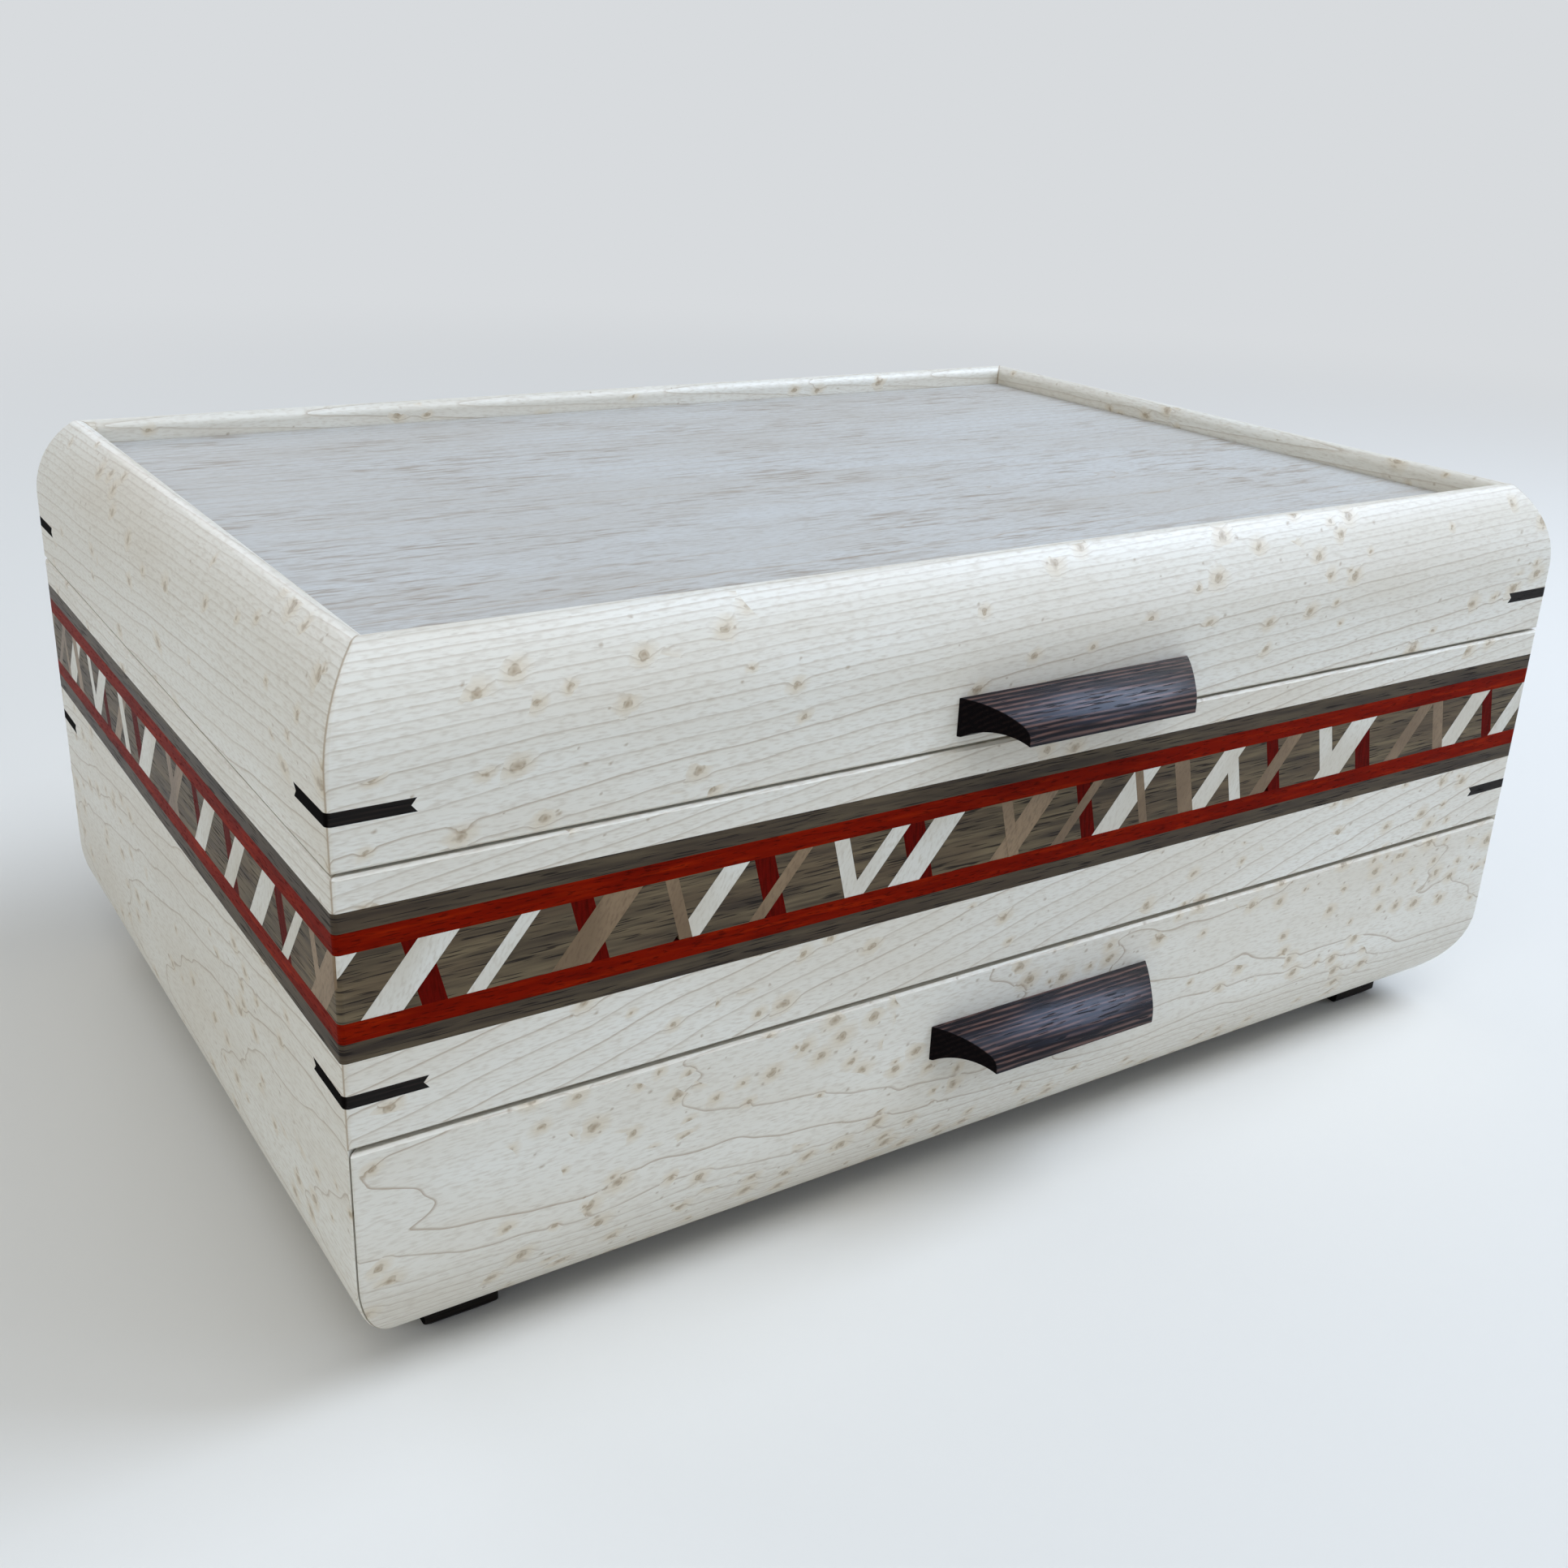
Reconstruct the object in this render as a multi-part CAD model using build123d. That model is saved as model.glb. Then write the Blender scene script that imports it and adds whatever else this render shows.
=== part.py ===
from build123d import *
import math
import os

# A keepsake puzzle box: a mitred maple case with an inlaid band, a hinged lid with a recessed panel, a drawer
# whose front is mitred to the case, and a drop pin inside that locks the drawer.
# Millimetres. The front faces -Y, +X is right seen from the front, +Z is up.
# The origin is on the table, under the middle of the footprint with its pulls and hinge barrels.

# Boards
box_width = 340.0
box_depth = 234.0
wall = 13.5
edge_round = 28.0       # roundover along the top of the lid and the bottom of the body
rim_round = 2.7         # inner edge of the lid's rim
corner_ease = 1.2       # easing of the outer corners, carried up and down over the roundovers
arris = 0.6             # chamfer along the lid joint and the drawer gap

# Heights, stacked from the table up
foot_lift = 6.5
drawer_front_height = 53.0
drawer_gap = 1.0
rail_height = 55.5
lid_gap = 0.6
lid_height = 41.3       # before the rim's inner edge is rounded

# Wenge keys across the mitres
key_thickness = 2.7
key_reach = 16.5
key_rise = 9.0          # from the lower edge of the board to the key
key_notch = 0.8         # fishtail that the saw leaves at the key's inner edge

# Inlaid band, from its edges to its middle
band_depth = 4.0
band_drop = 6.8         # from the top of the case to the band
walnut_line = 4.0
padauk_line = 4.2
band_core = 13.8

# Slats in the core of the band, left to right: wood, width, step to the next one
leaning_angle = 39.5
leaning_lead = -4.8
leaning_slats = (
    ("maple", 5.0, 18.6), ("maple", 6.2, 18.2), ("maple", 3.0, 19.5), ("cherry", 6.5, 25.5),
    ("maple", 4.7, 16.5), ("cherry", 2.9, 24.5), ("maple", 3.7, 13.0), ("maple", 6.5, 27.5),
    ("cherry", 5.8, 16.0), ("cherry", 2.6, 15.3), ("maple", 6.6, 29.2), ("maple", 5.7, 21.5),
    ("cherry", 4.2, 26.0), ("maple", 7.6, 25.0), ("cherry", 4.3, 23.0), ("maple", 6.0, 21.5),
)
steep_angle = -14.0
steep_lead = 16.5
steep_slats = (
    ("padauk", 4.9, 33.5), ("padauk", 4.7, 19.5), ("cherry", 2.9, 21.5), ("padauk", 4.7, 19.0),
    ("maple", 3.7, 18.5), ("padauk", 5.8, 26.0), ("cherry", 3.0, 22.5), ("padauk", 4.1, 17.5),
    ("cherry", 2.5, 14.0), ("cherry", 4.8, 17.0), ("maple", 3.7, 14.0), ("padauk", 4.0, 19.5),
    ("maple", 4.6, 14.0), ("padauk", 5.5, 30.5), ("cherry", 4.0, 21.0), ("padauk", 4.0, 24.0),
)
first_slat = {"front": 0, "right": 5, "back": 3, "left": 8}
# Length of each side that the steps fill. They stretch with the side
slat_run = {"front": 340.0, "right": 234.0, "back": 340.0, "left": 234.0}
least_chip = 6.0        # volume under which a chip between two slats is left to the glue

# Panels that sit in grooves
groove_slack = 0.5      # room at the bottom of a groove
panel_recess = 8.6      # from the top of the lid, before its rim is rounded, down to the panel
panel_thickness = 9.0
panel_tongue = 4.0
panel_reach = 4.0       # of the tongue into the rails
panel_gap = 0.4
floor_thickness = 5.0
floor_rise = 3.0        # from the lower edge of the front rail to the compartment floor
floor_reach = 5.0
bottom_thickness = 6.0
bottom_rise = 6.0
bottom_reach = 3.5
bottom_setback = 1.0    # behind the drawer front

# Drawer
mitre_gap = 0.5         # between the drawer front and the case sides, along the face
drawer_side_gap = 1.0
drawer_side = 10.0
drawer_back = 10.0
drawer_lift = 1.0       # of the sides above the bottom panel
drawer_side_drop = 2.0  # of the sides below the top of the drawer front
drawer_back_drop = 2.0  # of the back below the sides
drawer_back_space = 6.5
drawer_tail = 6.0       # of the sides behind the back
drawer_housing = 4.0
drawer_bottom = 4.0
drawer_bottom_rise = 4.0
runner_height = 8.0
runner_rise = 15.0      # from the lower edge of the drawer sides
runner_bite = 5.5
runner_clear = 0.3
runner_end_clear = 1.0
runner_setback = 2.0

# Wenge pulls
pull_width = 67.0
pull_height = 8.7
pull_projection = 13.2
pull_splay = 35.0       # of the ends, seen from above
pull_nose = 4.0         # radius at the tip of the droop
pull_lip = 1.4
pull_lip_rise = 0.3     # of the lip's lower edge above the foot of the pull
pull_cove = 2.2         # rise of the hollow under the pull
pull_toe = 0.8
lid_pull_rise = 2.6     # from the lower edge of the lid
drawer_pull_drop = 11.0 # from the top of the drawer front
pull_screw_spacing = 40.0
pull_screw_rise = 4.7

# Hinges
hinge_length = 40.0
hinge_inset = 62.0      # from the side of the box to the middle of the hinge
hinge_leaf = 1.4
hinge_leaf_depth = 10.5
hinge_screw_inset = 6.5
hinge_screw_spacing = 13.0
barrel_diameter = 5.2
barrel_clear = 0.35     # between the barrel and the back of the box
knuckle_count = 3
knuckle_gap = 0.3
hinge_pin = 2.4
pin_clear = 0.08

# Drawer lock
lock_pin_diameter = 6.0
lock_drop = 12.0
lock_inset = 40.0       # from the right wall of the compartment
lock_clear = 0.5        # between the pin and the drawer back
collar_diameter = 18.0
collar_height = 6.0
collar_clear = 0.08
knob_diameter = 15.0
knob_height = 9.0
knob_rim = 4.5          # height of the widest part of the knob
knob_shoulder = 7.0     # height where its crown turns in
knob_shoulder_diameter = 13.0
knob_top_diameter = 7.0
knob_clear = 0.5
knob_socket = 5.0

# Feet
foot_size = 17.0
foot_side_inset = 5.5   # from the inside of the wall
foot_end_inset = 1.5
foot_chamfer = 1.5

# Screws: shank, head, head height. The bite is what holds in the far piece
screw_flats = 12        # flats that stand for the round of a screw
hinge_screw = (2.2, 4.2, 1.2)
hinge_screw_bite = 7.6
pull_screw = (3.0, 6.0, 1.8)
pull_screw_bite = 6.0
runner_screw = (2.6, 5.0, 1.4)
runner_screw_bite = 5.5
runner_screw_margin = 30.0
foot_screw = (3.0, 6.0, 1.8)
foot_screw_bite = 4.5
foot_screw_sink = 4.0

# Levels
body_bottom = foot_lift
drawer_front_top = body_bottom + drawer_front_height
rail_bottom = drawer_front_top + drawer_gap
rail_top = rail_bottom + rail_height
lid_bottom = rail_top + lid_gap
lid_top = lid_bottom + lid_height
floor_bottom = rail_bottom + floor_rise
floor_top = floor_bottom + floor_thickness
bottom_low = body_bottom + bottom_rise
bottom_high = bottom_low + bottom_thickness
panel_top = lid_top - panel_recess
panel_bottom = panel_top - panel_thickness

# Places across the box
hinge_reach = barrel_diameter + barrel_clear
front_y = (pull_projection - box_depth - hinge_reach) / 2
back_y = front_y + box_depth
mid_y = front_y + box_depth / 2
inner_x = box_width / 2 - wall
inner_front = front_y + wall
inner_back = back_y - wall
round_run = min(edge_round, wall)
round_rise = math.sqrt(edge_round**2 - (edge_round - round_run) ** 2)

# Each side has its own frame: x to the right seen from outside, y into the box, z up
sides = {
    "front": Plane(origin=(0, front_y, 0), x_dir=(1, 0, 0), z_dir=(0, 0, 1)),
    "right": Plane(origin=(box_width / 2, mid_y, 0), x_dir=(0, 1, 0), z_dir=(0, 0, 1)),
    "back": Plane(origin=(0, back_y, 0), x_dir=(-1, 0, 0), z_dir=(0, 0, 1)),
    "left": Plane(origin=(-box_width / 2, mid_y, 0), x_dir=(0, -1, 0), z_dir=(0, 0, 1)),
}
side_length = {"front": box_width, "right": box_depth, "back": box_width, "left": box_depth}
corners = [(x_sign, y_sign) for x_sign in (-1, 1) for y_sign in (-1, 1)]
nodes = {}


def span(x0, y0, x1, y1):
    """Rectangle between two corners."""
    return Pos((x0 + x1) / 2, (y0 + y1) / 2) * Rectangle(x1 - x0, y1 - y0)


def block(x0, y0, z0, x1, y1, z1):
    """Box between two corners."""
    return Pos((x0 + x1) / 2, (y0 + y1) / 2, (z0 + z1) / 2) * Box(x1 - x0, y1 - y0, z1 - z0)


def polygon(*points):
    return make_face(Polyline(*points, close=True))


def planed_off(edge_z, up, rounded):
    """What is taken off the outer corner of a board's section, at its top (up 1) or its bottom (up -1)."""
    if rounded:
        centre_z = edge_z - up * round_rise
        strip = span(0, min(edge_z, centre_z), round_run, max(edge_z, centre_z))
        return strip - Pos(edge_round, centre_z) * Circle(edge_round)
    return polygon((0, edge_z), (arris, edge_z), (0, edge_z - up * arris))


def section(low, high, round_low=False, round_high=False):
    """Section of a board: inset from the outer face across, height up."""
    cuts = [planed_off(low, -1, round_low), planed_off(high, 1, round_high)]
    return span(0, low, wall, high) - cuts


def loaf(width):
    """Whole section of the closed box, with its roundovers at the top and the bottom."""
    shape = span(-width / 2, body_bottom, width / 2, lid_top)
    outer = [planed_off(body_bottom, -1, True), planed_off(lid_top, 1, True)]
    cuts = [Pos(-width / 2, 0) * cut for cut in outer]
    return shape - cuts - [mirror(cut, about=Plane.YZ) for cut in cuts]


def make_envelope():
    """Outer form of the box: the two sections crossed, with the corners eased all the way round."""
    along = extrude(Plane.YZ * loaf(box_depth), amount=box_width / 2, both=True)
    across = extrude(Plane.XZ * loaf(box_width), amount=box_depth / 2, both=True)
    crossed = along & across
    skew = (box_width - box_depth) / 2
    seams = [
        edge for edge in crossed.edges()
        if abs(abs(edge.center().X) - abs(edge.center().Y) - skew) < arris
    ]
    return Pos(0, mid_y, 0) * fillet(seams, corner_ease)


envelope = make_envelope()


def mitred_slot(side, gap=0.0):
    """Space that the boards of one side may fill, between its two mitres."""
    half = side_length[side] / 2 - gap
    plan = polygon((-half, 0), (half, 0), (half - wall, wall), (-half + wall, wall))
    return sides[side] * extrude(plan, amount=lid_top, dir=(0, 0, 1)) & envelope


def board(side, shape, gap=0.0):
    blank = extrude(Plane.YZ * shape, amount=side_length[side] / 2, both=True)
    return sides[side] * blank & mitred_slot(side, gap)


def corner_key(x_sign, y_sign, low):
    """Three-cornered key let in across a mitre, fishtailed along its inner edge."""
    tip = Vector(x_sign * box_width / 2, mid_y + y_sign * box_depth / 2, low + key_thickness / 2)
    end_x = tip - Vector(x_sign * key_reach, 0, 0)
    end_y = tip - Vector(0, y_sign * key_reach, 0)
    key = extrude(polygon(tip, end_x, end_y), amount=key_thickness / 2, both=True)
    middle = (end_x + end_y) / 2
    kerf_plane = Plane(origin=middle, x_dir=tip - middle, z_dir=end_y - end_x)
    kerf = polygon((0, -key_thickness / 2), (key_notch, 0), (0, key_thickness / 2))
    return (key - extrude(kerf_plane * kerf, amount=key_reach, both=True)) & envelope


def corner_keys(low):
    return [corner_key(x_sign, y_sign, low) for x_sign, y_sign in corners]


def screw_ring(diameter, z):
    turns = [2 * math.pi * step / screw_flats for step in range(screw_flats)]
    return [Vector(diameter / 2 * math.cos(turn), diameter / 2 * math.sin(turn), z) for turn in turns]


def screw(shank, head, head_height, length):
    """Countersunk screw of flats between three rings, its head up at the origin and its shank down."""
    rings = [screw_ring(head, 0), screw_ring(shank, -head_height), screw_ring(shank, -length)]
    flats = [polygon(*rings[0]), polygon(*rings[-1])]
    for upper, lower in zip(rings, rings[1:]):
        for step in range(screw_flats):
            flats.append(polygon(upper[step - 1], upper[step], lower[step], lower[step - 1]))
    return Solid(Shell([flat.face() for flat in flats]))


def pull(low):
    """Drooping finger pull on the front: two tangent arcs above, a hollow below, its ends splayed."""
    lip_low = low + pull_lip_rise
    lip_high = lip_low + pull_lip
    crown = low + pull_height - lip_high
    reach = pull_projection - pull_nose
    back_radius = (reach**2 + crown**2 - pull_nose**2) / (2 * (crown - pull_nose))
    share = back_radius / (back_radius - pull_nose)
    meet = (-reach * share, low + pull_height - back_radius + (back_radius - crown) * share)
    outline = [
        TangentArc((0, low + pull_height), meet, tangent=(-1, 0)),
        TangentArc((-pull_projection, lip_high), meet, tangent=(0, 1)),
        Line((-pull_projection, lip_high), (-pull_projection, lip_low)),
        ThreePointArc((-pull_projection, lip_low), (-pull_projection / 2, low + pull_cove), (-pull_toe, low)),
        Line((-pull_toe, low), (0, low)),
        Line((0, low), (0, low + pull_height)),
    ]
    bar = extrude(Plane.YZ * make_face(outline), amount=pull_width / 2, both=True)
    base = pull_width / 2
    tip = base - pull_projection * math.tan(math.radians(pull_splay))
    plan = polygon((-tip, -pull_projection), (tip, -pull_projection), (base, 0), (-base, 0))
    return sides["front"] * (bar & extrude(plan, amount=lid_top, dir=(0, 0, 1)))


def pull_screws(low):
    """Screws from inside the board into the back of a pull."""
    places = [Pos(x_sign * pull_screw_spacing / 2, inner_front, low + pull_screw_rise) for x_sign in (-1, 1)]
    return [place * Rot(-90, 0, 0) * screw(*pull_screw, wall + pull_screw_bite) for place in places]


def slat(x, width, angle):
    """Slanted slat across the core of the band, with its middle at x."""
    lean = math.radians(angle)
    shift = band_core / 2 * math.tan(lean)
    half = width / math.cos(lean) / 2
    edge = band_core / 2
    foot = x - shift
    head = x + shift
    return polygon((foot - half, -edge), (foot + half, -edge), (head + half, edge), (head - half, edge))


def slat_row(side, cycle, lead, angle):
    """Slats of one slant from end to end of a side, as pairs of wood and face."""
    stretch = side_length[side] / slat_run[side]
    row = []
    along = lead
    index = first_slat[side]
    while along < slat_run[side]:
        wood, width, step = cycle[index % len(cycle)]
        row.append((wood, slat(along * stretch - side_length[side] / 2, width, angle)))
        along += step
        index += 1
    return row


def band(side):
    """Inlay of one side by wood: steep padauk lies under the leaning slats, the other steep slats over them."""
    length = side_length[side]
    core = Rectangle(length, band_core)
    leaning = slat_row(side, leaning_slats, leaning_lead, leaning_angle)
    steep = slat_row(side, steep_slats, steep_lead, steep_angle)
    over = [strip for strip in steep if strip[0] != "padauk"]
    under = [strip for strip in steep if strip[0] == "padauk"]
    faces = {"walnut": [], "padauk": [], "maple": [], "cherry": []}
    for layer in (over, leaning, under):
        for wood, face in layer:
            faces[wood] += (face & core).faces()
        core = core - [face for wood, face in layer]
    faces["walnut"] += core.faces()
    edge = band_core / 2
    for wood, line in (("padauk", padauk_line), ("walnut", walnut_line)):
        faces[wood] += span(-length / 2, edge, length / 2, edge + line).faces()
        faces[wood] += span(-length / 2, -edge - line, length / 2, -edge).faces()
        edge += line
    slot = mitred_slot(side)
    place = sides[side] * Pos(0, 0, rail_top - band_drop - edge)
    pieces = {wood: [] for wood in faces}
    for wood, flat in faces.items():
        for face in flat:
            strip = place * extrude(Plane.XZ * face, amount=-band_depth)
            reach = max(face.bounding_box().max.X, -face.bounding_box().min.X)
            if reach > length / 2 - wall:
                strip = strip & slot
            pieces[wood] += [solid for solid in strip.solids() if solid.volume > least_chip]
    return pieces


def hinge_leaf_solid(x, face_z, down, knuckles):
    """Leaf in its recess with its own knuckles on the barrel. face_z is its open face, down 1 or -1."""
    axis_y = back_y + barrel_clear + barrel_diameter / 2
    axis_z = (rail_top + lid_bottom) / 2
    low, high = sorted((face_z, face_z - down * hinge_leaf))
    leaf = block(x - hinge_length / 2, back_y - hinge_leaf_depth, low, x + hinge_length / 2, back_y, high)
    pitch = hinge_length / knuckle_count
    for index in knuckles:
        start = x - hinge_length / 2 + index * pitch + knuckle_gap / 2
        end = start + pitch - knuckle_gap
        knuckle = Rot(0, 90, 0) * Cylinder(barrel_diameter / 2, end - start)
        neck = block(start, back_y - hinge_leaf, low, end, axis_y, high)
        leaf = leaf + neck + Pos((start + end) / 2, axis_y, axis_z) * knuckle
    bore = Cylinder(hinge_pin / 2 + pin_clear, hinge_length + 2 * knuckle_gap)
    return leaf - Pos(x, axis_y, axis_z) * Rot(0, 90, 0) * bore


def hinge_recess(x, face_z, down):
    low, high = sorted((face_z + down * lid_gap / 2, face_z - down * hinge_leaf))
    half = hinge_length / 2
    return block(x - half, back_y - hinge_leaf_depth, low, x + half, back_y + wall, high)


def hinge_screws(x, face_z, turn):
    """Three screws through a leaf."""
    one = Rot(turn, 0, 0) * screw(*hinge_screw, hinge_leaf + hinge_screw_bite)
    places = [x + step * hinge_screw_spacing for step in (-1, 0, 1)]
    return [Pos(place, back_y - hinge_screw_inset, face_z) * one for place in places]


# Hinges, their recesses and screws
hinge_x = {"left": hinge_inset - box_width / 2, "right": box_width / 2 - hinge_inset}
case_hinge_screws = [one for x in hinge_x.values() for one in hinge_screws(x, rail_top, 0)]
lid_hinge_screws = [one for x in hinge_x.values() for one in hinge_screws(x, lid_bottom, 180)]
case_recesses = [hinge_recess(x, rail_top, 1) for x in hinge_x.values()]
lid_recesses = [hinge_recess(x, lid_bottom, -1) for x in hinge_x.values()]
for name, x in hinge_x.items():
    case_knuckles = range(0, knuckle_count, 2)
    lid_knuckles = range(1, knuckle_count, 2)
    nodes[f"hinge_{name}_case_leaf"] = hinge_leaf_solid(x, rail_top, 1, case_knuckles) - case_hinge_screws
    nodes[f"hinge_{name}_lid_leaf"] = hinge_leaf_solid(x, lid_bottom, -1, lid_knuckles) - lid_hinge_screws
    pin_place = Pos(x, back_y + barrel_clear + barrel_diameter / 2, (rail_top + lid_bottom) / 2)
    nodes[f"hinge_{name}_pin"] = pin_place * Rot(0, 90, 0) * Cylinder(hinge_pin / 2, hinge_length)
nodes["hinge_case_screws"] = case_hinge_screws
nodes["hinge_lid_screws"] = lid_hinge_screws

# Lid: rails, panel, keys and pull
lid_keys = corner_keys(lid_bottom + key_rise)
lid_pull_low = lid_bottom + lid_pull_rise
lid_pull_screws = pull_screws(lid_pull_low)
tongue_x = inner_x + panel_reach
tongue_y = box_depth / 2 - wall + panel_reach
tongue_high = panel_bottom + panel_tongue
panel_field = block(
    panel_gap - inner_x, inner_front + panel_gap, panel_bottom,
    inner_x - panel_gap, inner_back - panel_gap, panel_top,
)
panel_rim = block(-tongue_x, mid_y - tongue_y, panel_bottom, tongue_x, mid_y + tongue_y, tongue_high)
panel_groove = block(
    -tongue_x - groove_slack, mid_y - tongue_y - groove_slack, panel_bottom,
    tongue_x + groove_slack, mid_y + tongue_y + groove_slack, tongue_high,
)
lid_section = section(lid_bottom, lid_top, round_high=True)
rim_edge = lid_section.vertices().group_by(Axis.Y)[-1].sort_by(Axis.X)[-1]
lid_section = fillet(rim_edge, rim_round)
for side in sides:
    rail = board(side, lid_section) - panel_groove - lid_keys
    if side == "front":
        rail = rail - lid_pull_screws
    if side == "back":
        rail = rail - lid_recesses - lid_hinge_screws
    nodes[f"lid_{side}_rail"] = rail
nodes["lid_panel"] = panel_field + panel_rim
nodes["lid_corner_keys"] = lid_keys
nodes["lid_pull"] = pull(lid_pull_low) - lid_pull_screws
nodes["lid_pull_screws"] = lid_pull_screws

# Case: boards, keys, band, floor and bottom
case_keys = corner_keys(rail_bottom + key_rise)
band_height = band_core + 2 * padauk_line + 2 * walnut_line
band_top = rail_top - band_drop
band_ring = block(-box_width, -box_width, band_top - band_height, box_width, box_width, band_top) - block(
    band_depth - box_width / 2, front_y + band_depth, band_top - band_height,
    box_width / 2 - band_depth, back_y - band_depth, band_top,
)
floor_x = inner_x + floor_reach
floor_groove = block(
    -floor_x - groove_slack, inner_front - floor_reach - groove_slack, floor_bottom,
    floor_x + groove_slack, inner_back + floor_reach + groove_slack, floor_top,
)
bottom_x = inner_x + bottom_reach
bottom_front = inner_front + bottom_setback
bottom_groove = block(
    -bottom_x - groove_slack, bottom_front, bottom_low,
    bottom_x + groove_slack, inner_back + bottom_reach + groove_slack, bottom_high,
)
case_cuts = [band_ring, floor_groove, bottom_groove, *case_keys]
tall_section = section(body_bottom, rail_top, round_low=True)
nodes["case_front_rail"] = board("front", section(rail_bottom, rail_top)) - case_cuts
nodes["case_back"] = board("back", tall_section) - case_cuts - case_recesses - case_hinge_screws
case_sides = {side: board(side, tall_section) - case_cuts for side in ("left", "right")}
nodes["case_corner_keys"] = case_keys
for side in sides:
    for wood, pieces in band(side).items():
        nodes[f"{side}_band_{wood}"] = pieces

# Drawer runners, screwed to the case sides
drawer_low = bottom_high + drawer_lift
drawer_high = drawer_front_top - drawer_side_drop
runner_low = drawer_low + runner_rise
runner_high = runner_low + runner_height
drawer_outer = inner_x - drawer_side_gap
runner_inner = drawer_outer - runner_bite
runner_front = inner_front + runner_setback
runner_mid_z = (runner_low + runner_high) / 2
runner_screw_y = (runner_front + runner_screw_margin, inner_back - runner_screw_margin)
runner_screws = []
for side, x_sign in (("left", -1), ("right", 1)):
    ends = sorted((x_sign * runner_inner, x_sign * inner_x))
    strip = block(ends[0], runner_front, runner_low, ends[1], inner_back, runner_high)
    fixing = Rot(0, -90 * x_sign, 0) * screw(*runner_screw, inner_x - runner_inner + runner_screw_bite)
    fixings = [Pos(x_sign * runner_inner, y, runner_mid_z) * fixing for y in runner_screw_y]
    nodes[f"drawer_runner_{side}"] = strip - fixings
    nodes[f"case_{side}_side"] = case_sides[side] - fixings
    runner_screws += fixings
nodes["runner_screws"] = runner_screws

# Drawer: front, sides, back, bottom and pull
drawer_end = inner_back - drawer_back_space
drawer_back_rear = drawer_end - drawer_tail
drawer_back_front = drawer_back_rear - drawer_back
drawer_inner = drawer_outer - drawer_side
drawer_pull_low = drawer_front_top - drawer_pull_drop - pull_height
drawer_pull_screws = pull_screws(drawer_pull_low)
drawer_floor_low = drawer_low + drawer_bottom_rise
drawer_floor_high = drawer_floor_low + drawer_bottom
drawer_floor_x = drawer_inner + drawer_housing
drawer_floor = block(
    groove_slack - drawer_floor_x, inner_front - drawer_housing + groove_slack, drawer_floor_low,
    drawer_floor_x - groove_slack, drawer_back_front + drawer_housing - groove_slack, drawer_floor_high,
)
drawer_floor_groove = block(
    -drawer_floor_x, inner_front - drawer_housing, drawer_floor_low,
    drawer_floor_x, drawer_back_front + drawer_housing, drawer_floor_high,
)
back_board = block(
    -drawer_inner - drawer_housing, drawer_back_front, drawer_low,
    drawer_inner + drawer_housing, drawer_back_rear, drawer_high - drawer_back_drop,
)
drawer_face = board("front", section(body_bottom, drawer_front_top, round_low=True), mitre_gap)
drawer_face = drawer_face - drawer_floor_groove - drawer_pull_screws
for side, x_sign in (("left", -1), ("right", 1)):
    ends = sorted((x_sign * drawer_inner, x_sign * drawer_outer))
    side_board = block(ends[0], inner_front - drawer_housing, drawer_low, ends[1], drawer_end, drawer_high)
    drawer_face = drawer_face - side_board
    channel_ends = sorted((x_sign * (runner_inner - runner_end_clear), x_sign * inner_x))
    channel = block(
        channel_ends[0], inner_front, runner_low - runner_clear,
        channel_ends[1], drawer_end + drawer_tail, runner_high + runner_clear,
    )
    nodes[f"drawer_{side}_side"] = side_board - channel - drawer_floor_groove - back_board
nodes["drawer_front"] = drawer_face
nodes["drawer_back"] = back_board - drawer_floor_groove
nodes["drawer_bottom"] = drawer_floor
nodes["drawer_pull"] = pull(drawer_pull_low) - drawer_pull_screws
nodes["drawer_pull_screws"] = drawer_pull_screws

# Drawer lock: the pin drops through the compartment floor, just in front of the drawer back
lock_x = inner_x - lock_inset
lock_y = drawer_back_front - lock_clear - lock_pin_diameter / 2
collar_top = floor_top + collar_height
knob_low = collar_top + lock_drop + knob_clear
pin_top = knob_low + knob_socket
lock_hole = lock_pin_diameter / 2 + collar_clear
pin_length = pin_top - floor_bottom
lock_rod = Pos(lock_x, lock_y, floor_bottom + pin_length / 2) * Cylinder(lock_pin_diameter / 2, pin_length)
guide = Pos(lock_x, lock_y, floor_top + collar_height / 2)
guide_bore = Pos(lock_x, lock_y, floor_bottom + pin_length / 2) * Cylinder(lock_hole, pin_length)
collar = chamfer(Cylinder(collar_diameter / 2, collar_height).edges().group_by(Axis.Z)[-1], arris)
knob_base = (knob_diameter + lock_pin_diameter) / 4
knob_half = polygon(
    (0, 0), (knob_base, 0), (knob_diameter / 2, knob_rim), (knob_shoulder_diameter / 2, knob_shoulder),
    (knob_top_diameter / 2, knob_height), (0, knob_height),
)
knob = revolve(Plane.XZ * knob_half, axis=Axis.Z)
nodes["lock_pin"] = lock_rod
nodes["lock_knob"] = Pos(lock_x, lock_y, knob_low) * knob - lock_rod
nodes["lock_collar"] = guide * collar - guide_bore
nodes["compartment_floor"] = block(
    -floor_x, inner_front - floor_reach, floor_bottom, floor_x, inner_back + floor_reach, floor_top
) - guide_bore

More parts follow.
